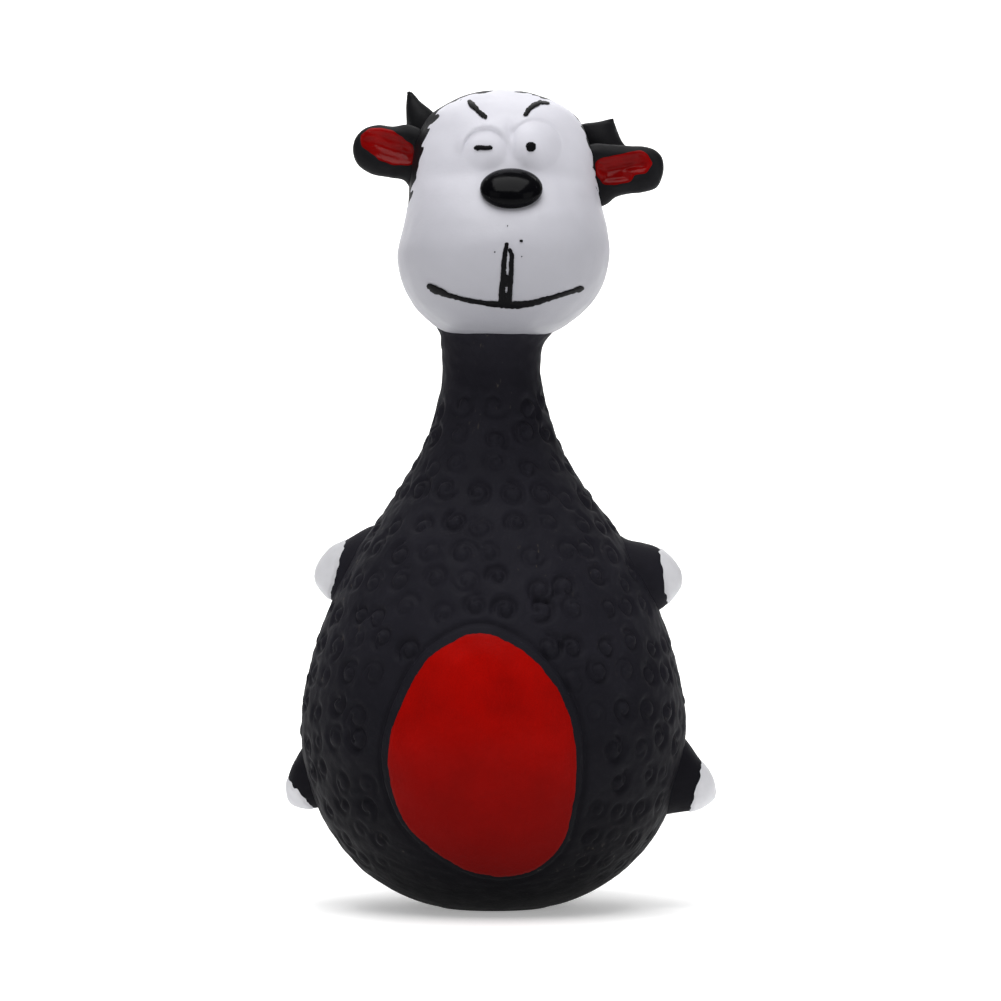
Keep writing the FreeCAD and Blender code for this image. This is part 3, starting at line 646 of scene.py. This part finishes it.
def build_strokes():
    """The brushed black lines of the face, each a low bead of paint."""
    for name, lines in STROKES.items():
        spots = np.array([point for line in lines for point in line])
        low = spots[:, :2].min(axis=0) - 1.0
        high = spots[:, :2].max(axis=0) + 1.0
        step = 0.09
        across = np.arange(low[0], high[0], step)
        upward = np.arange(low[1], high[1], step)
        x, z = np.meshgrid(across, upward)
        flat = np.stack([x, np.zeros_like(x), z], axis=2)
        field = stroke_field(lines, x, z) + 0.05 * waves(flat, 0.9, 51) + 0.03 * waves(flat, 0.4, 52)
        bead = 0.03 + 0.17 * np.sqrt(np.clip(field / 0.5, 0, 1))
        front = face_front(x, z)
        down_slope, cross_slope = np.gradient(front, step)
        lean = np.sqrt(1 + down_slope**2 + cross_slope**2)
        y = front - (WHITE_LIFT + bead + 0.10) * np.minimum(lean, 4.0)
        points = np.stack([x, y, z], axis=2).reshape(-1, 3)
        triangles = triangles_of(grid_faces(len(upward), len(across), False))
        thing = piece(name + "_paint", *clipped(points, triangles, field.ravel()), PAINT, "black_paint")
        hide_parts(name)
        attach(thing, "head")


def ring_loft(rows, around, count):
    """A skin of count oval rings threaded through rows, each row a centre and two half-axes."""
    rings = threaded([(*centre, *first, *second) for centre, first, second in rows], count, 3)
    turn = np.arange(around) * 2 * math.pi / around
    centre, first, second = rings[:, None, :3], rings[:, None, 3:6], rings[:, None, 6:9]
    return centre + first * np.cos(turn)[None, :, None] + second * np.sin(turn)[None, :, None]


def build_nose():
    """Glossy oval nose."""
    rows = []
    for step in np.linspace(-math.pi / 2, math.pi / 2, 33):
        width = max(math.cos(step), 0.002)
        spot = (3.65 + 6.4 * math.sin(step), -23.1, 148.15)
        rows.append((spot, (0, -4.4 * width, -1.2 * width), (0, 1.3 * width, 4.15 * width)))
    points = ring_loft(rows, 96, 90)
    nose = piece("nose_skin", points.reshape(-1, 3), grid_faces(*points.shape[:2], True), NOSE, "gloss_black")
    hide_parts("nose")
    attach(nose, "head")


# Height, left edge, right edge and half-depth of each horn.
HORN_ROWS = {
    "left_horn": [
        (158.5, -17.0, -10.0, 4.0), (161.0, -17.8, -10.5, 3.9), (163.0, -18.2, -10.8, 3.6),
        (165.0, -18.4, -11.6, 3.0), (166.3, -18.4, -12.7, 2.5), (167.5, -18.45, -14.1, 2.0),
        (168.8, -18.4, -15.6, 1.4), (169.9, -18.2, -16.6, 0.9), (170.6, -17.85, -17.45, 0.25),
        (170.65, -17.7, -17.6, 0.05),
    ],
    "right_horn": [
        (154.5, 17.0, 26.5, 3.6), (156.5, 17.0, 27.8, 3.8),
        (158.3, 17.0, 28.3, 3.8), (159.6, 17.2, 27.4, 3.7),
        (161.2, 17.4, 26.5, 3.5), (162.6, 17.6, 25.8, 3.2),
        (163.6, 18.2, 25.5, 2.8), (164.1, 19.8, 25.35, 2.2),
        (164.5, 22.4, 25.3, 1.5), (164.9, 24.3, 25.2, 0.8), (165.05, 25.0, 25.1, 0.1),
    ],
}


def build_horns():
    """Two small black horns, moulded with the head."""
    for name, rows in HORN_ROWS.items():
        depth = 4.5 if name == "left_horn" else 5.5
        rings = [
            (((left + right) / 2, depth, height), ((right - left) / 2, 0, 0), (0, thick, 0))
            for height, left, right, thick in rows
        ]
        points = ring_loft(rings, 80, 90)
        points += 0.10 * waves(points, 4.0, 61)[..., None]
        faces = grid_faces(*points.shape[:2], True)
        horn = piece(name + "_skin", points.reshape(-1, 3), faces, BACK_BLACK, "black_latex")
        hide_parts(name)
        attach(horn, "head")


# X and Z round each ear, and round its red lining.
EAR_OUTLINES = {
    "left_ear": [
        (-18.1, 163.0), (-20.8, 162.6), (-24.2, 162.9), (-27.1, 162.0), (-28.8, 160.1),
        (-29.3, 157.4), (-28.4, 154.8), (-25.9, 152.9), (-21.4, 151.9), (-18.6, 151.3),
        (-17.2, 149.6), (-15.5, 148.5), (-13.2, 151.0), (-12.6, 156.0), (-14.0, 161.0),
    ],
    "right_ear": [
        (20.5, 158.9), (24.5, 158.8), (28.3, 158.55), (31.4, 158.4), (33.6, 157.7), (35.0, 156.3),
        (35.45, 154.2), (35.0, 151.7), (34.1, 150.0), (31.2, 148.9), (27.8, 148.5), (25.4, 147.8),
        (23.6, 146.4), (21.0, 145.6), (18.0, 147.5), (17.2, 153.0), (18.0, 157.5),
    ],
}
LINING_OUTLINES = {
    "left_ear": [
        (-27.7, 160.7), (-26.3, 161.9), (-23.0, 162.1), (-19.9, 161.0), (-17.3, 158.9), (-16.1, 156.6),
        (-16.6, 154.8), (-19.4, 154.3), (-23.0, 155.2), (-25.8, 156.8), (-27.5, 158.9),
    ],
    "right_ear": [
        (21.6, 155.3), (24.1, 156.1), (27.3, 156.7), (30.7, 157.3),
        (32.2, 156.3), (32.6, 154.0), (31.5, 152.8),
        (29.4, 152.2), (28.0, 150.9), (24.7, 150.4), (22.6, 150.7), (21.5, 152.3),
    ],
}
# Y of the middle of both ears.
EAR_PLANE = -2.6


def ear_sheets(name):
    """Front and back skins of an ear over a grid, with the fields of its outline and of its lining."""
    outline = closed_loop(EAR_OUTLINES[name])
    lining = closed_loop(LINING_OUTLINES[name])
    low, high = outline.min(axis=0) - 0.5, outline.max(axis=0) + 0.5
    step = 0.16
    across = np.arange(low[0], high[0], step)
    upward = np.arange(low[1], high[1], step)
    x, z = np.meshgrid(across, upward)
    rim = inside_distance(outline, x, z)
    dish = inside_distance(lining, x, z)
    flat = np.stack([x, np.zeros_like(x), z], axis=2)
    thick = 2.3 * np.sqrt(np.clip(1 - (1 - np.clip(rim / 2.6, 0, 1)) ** 2, 0, 1))
    hollow = 1.35 * smoothstep(-0.3, 2.6, dish)
    tilt = 0.25 if name == "left_ear" else -0.12
    folds = 0.14 * np.sin((z + tilt * x) * 3.1 + 1.0 * waves(flat, 6.0, 73)) * smoothstep(0.2, 1.4, dish)
    front = EAR_PLANE - thick + hollow + folds
    back = EAR_PLANE + thick
    return x, z, front, back, rim, dish, grid_faces(len(upward), len(across), False)


def build_ears():
    """Two soft ears, each with a glossy red lining."""
    for name, sign in (("left_ear", -1), ("right_ear", 1)):
        x, z, front, back, rim, dish, faces = ear_sheets(name)
        triangles = triangles_of(faces)
        facing = np.stack([x, front, z], axis=2).reshape(-1, 3)
        hidden = np.stack([x, back, z], axis=2).reshape(-1, 3)
        front_points, front_faces = clipped(facing, triangles, rim.ravel())
        back_points, back_faces = clipped(hidden, triangles[:, ::-1], rim.ravel())
        points = np.concatenate([front_points, back_points])
        joined = np.concatenate([front_faces, back_faces + len(front_points)])
        ear = piece(name + "_skin", points, joined, BACK_BLACK, "black_latex")
        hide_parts(name)
        flat = np.stack([x, np.zeros_like(x), z], axis=2)
        field = dish + 0.16 * waves(flat, 1.8, 75)
        lift = 0.03 + 0.10 * smoothstep(0.0, 0.4, field)
        painted = np.stack([x, front - lift, z], axis=2).reshape(-1, 3)
        mesh = clipped(painted, triangles, field.ravel())
        lining = piece(name + "_lining_skin", *mesh, LINING, "red_latex")
        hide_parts(name + "_lining")
        for thing in (ear, lining):
            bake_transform(thing)


# ---------------------------------------------------------------- legs

# Each limb: its start, its heading in X and Z, the X, Z and slant of the hoof's edge, and rings of
# travel, half-height and half-depth. The lower left hoof's edge lies square across the limb.
LIMBS = {
    "upper_right": {
        "from": (20.0, -1.0, 68.1), "heading": (1.0, 0.02), "white": (34.4, 74.6, 0.15),
        "rings": [
            (0, 11.0, 9.0), (5.75, 9.7, 8.4), (8.0, 8.4, 7.8), (11.2, 7.6, 7.2),
            (13.6, 6.9, 6.7), (15.2, 6.1, 6.0),
            (16.4, 5.1, 5.2), (17.5, 3.9, 4.1), (18.5, 2.4, 2.7), (19.1, 1.0, 1.2), (19.25, 0.05, 0.05),
        ],
    },
    "upper_left": {
        "from": (-20.0, 4.0, 69.8), "heading": (-1.0, -0.05), "white": (-30.9, 76.4, -0.27),
        "rings": [
            (0, 10.8, 9.0), (5.8, 9.6, 8.4), (9.3, 7.9, 7.4), (11.8, 6.6, 6.6),
            (13.2, 6.0, 6.0), (14.5, 5.1, 5.2),
            (15.7, 3.9, 4.2), (16.7, 2.4, 2.8), (17.3, 1.1, 1.3), (17.5, 0.05, 0.05),
        ],
    },
    "lower_right": {
        "from": (28.0, -1.5, 30.6), "heading": (0.92, -0.39), "white": (43.2, 29.6, -0.26),
        "rings": [
            (0, 11.0, 9.5), (6, 10.2, 8.8), (9.6, 8.6, 7.8), (13.2, 6.4, 6.6),
            (14.8, 5.5, 5.9), (16.6, 4.4, 4.8),
            (18.0, 3.1, 3.5), (19.0, 1.6, 1.9), (19.45, 0.6, 0.8), (19.55, 0.05, 0.05),
        ],
    },
    "lower_left": {
        "from": (-29.3, 4.5, 33.0), "heading": (-0.75, -0.66), "white": (-40.6, 23.7, 0.0),
        "rings": [
            (0, 9.5, 9.0), (5, 8.4, 8.2), (8.2, 7.1, 7.4), (10.6, 6.3, 6.6),
            (12.6, 5.5, 5.8), (14.7, 4.2, 4.6),
            (16.2, 2.9, 3.3), (17.2, 1.5, 1.8), (17.6, 0.6, 0.7), (17.7, 0.05, 0.05),
        ],
    },
}


def build_limbs():
    """Four stub legs with white hooves."""
    for limb, make in LIMBS.items():
        start = np.array(make["from"])
        heading = np.array([make["heading"][0], 0.0, make["heading"][1]])
        heading /= np.linalg.norm(heading)
        upward = np.array([-heading[2], 0.0, heading[0]])
        rows = [
            (tuple(start + travel * heading), tuple(upward * tall), (0, deep, 0))
            for travel, tall, deep in make["rings"]
        ]
        points = ring_loft(rows, 160, 120)
        points = points + 0.07 * waves(points, 5.0, 81)[..., None] * heading
        faces = grid_faces(*points.shape[:2], True)
        leg = piece(limb + "_leg_skin", points.reshape(-1, 3), faces, BLACK, "black_latex")
        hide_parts(limb + "_leg")
        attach(leg, "torso")
        edge_x, edge_z, slant = make["white"]
        side = 1 if "right" in limb else -1
        if limb == "lower_left":
            along = (points - np.array([edge_x, 0, edge_z])) @ heading
        else:
            along = side * (points[..., 0] - edge_x - slant * (edge_z - points[..., 2]))
        field = along + 0.16 * waves(points, 1.6, 83)
        normals = grid_normals(points, True)
        spokes = points - points.mean(axis=1, keepdims=True)
        outward = np.sign(np.sum(normals * spokes, axis=2, keepdims=True))
        painted = points + normals * outward * (0.03 + 0.20 * smoothstep(0.0, 0.6, field))[..., None]
        mesh = clipped(painted.reshape(-1, 3), triangles_of(faces), field.ravel())
        hoof = piece(limb + "_hoof_skin", *mesh, HOOF, "white_latex")
        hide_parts(limb + "_hoof")
        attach(hoof, "torso")


# ---------------------------------------------------------------- squeaker, studio and camera

def finish_squeaker():
    """Procedural plastic on the CAD squeaker."""
    for name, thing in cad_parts.items():
        if name.startswith("squeaker"):
            thing.data.materials.clear()
            thing.data.materials.append(PLASTIC)


def build_studio():
    """Pale sweep, soft lights and a long lens at body height."""
    across = np.linspace(-3000, 3000, 3)
    bend = [(-2500, 0), (0, 0), (1200, 0), (1700, 120), (1950, 500), (2000, 1200), (2000, 2600)]
    path = threaded(bend, 60, 2)
    points = np.array([[(x, y, z) for x in across] for y, z in path], float)
    points[..., 2] = np.maximum(points[..., 2], 0)
    material, tree, shader, where = nodes_for("sweep")
    tone = ramp(tree, noise(tree, where, 3.0), [(0.2, (0.90, 0.90, 0.90)), (0.8, (0.93, 0.93, 0.93))])
    tree.links.new(tone, shader.inputs["Base Color"])
    shader.inputs["Roughness"].default_value = 0.9
    shader.inputs["Emission Color"].default_value = (1.0, 1.0, 1.0, 1.0)
    shader.inputs["Emission Strength"].default_value = 0.32
    mesh = bpy.data.meshes.new("sweep")
    faces = grid_faces(len(path), 3, False)
    mesh.from_pydata((points.reshape(-1, 3) * MM).tolist(), [], faces.tolist())
    mesh.polygons.foreach_set("use_smooth", np.ones(len(faces), bool))
    mesh.materials.append(material)
    sweep = bpy.data.objects.new("sweep", mesh)
    bpy.context.scene.collection.objects.link(sweep)

    world = bpy.data.worlds.new("studio")
    world.use_nodes = True
    background = world.node_tree.nodes["Background"]
    background.inputs["Color"].default_value = (1.0, 1.0, 1.0, 1.0)
    background.inputs["Strength"].default_value = 0.15
    bpy.context.scene.world = world

    lights = [
        ("top_soft", (-0.06, -0.30, 1.1), (0, 0, 0.09), 1.0, 12.0),
        ("left_soft", (-0.9, -0.8, 0.55), (0, 0, 0.09), 0.7, 0.9),
        ("right_soft", (0.9, -0.8, 0.45), (0, 0, 0.09), 0.7, 1.6),
        ("back_wash", (0.0, 0.9, 1.3), (0, 1.9, 0.3), 1.2, 25.0),
    ]
    for name, spot, aim, size, power in lights:
        lamp = bpy.data.lights.new(name, "AREA")
        lamp.size = size
        lamp.energy = power
        thing = bpy.data.objects.new(name, lamp)
        thing.location = spot
        direction = np.array(aim, float) - np.array(spot, float)
        thing.rotation_euler = aimed(direction)
        bpy.context.scene.collection.objects.link(thing)

    camera = bpy.data.cameras.new("camera")
    camera.lens = 150
    camera.sensor_width = 36
    camera.clip_start = 0.05
    eye = bpy.data.objects.new("camera", camera)
    eye.location = (0.00145, -0.8712, 0.0847)
    eye.rotation_euler = (math.pi / 2, 0, 0)
    bpy.context.scene.collection.objects.link(eye)
    bpy.context.scene.camera = eye
    bpy.context.scene.view_settings.view_transform = "Standard"


def aimed(direction):
    """Euler angles that point a light's -Z along a direction."""
    x, y, z = direction / np.linalg.norm(direction)
    return (math.acos(-z), 0.0, math.atan2(-x, y))


build_body()
build_head()
build_strokes()
build_nose()
build_horns()
build_ears()
build_limbs()
finish_squeaker()
build_studio()
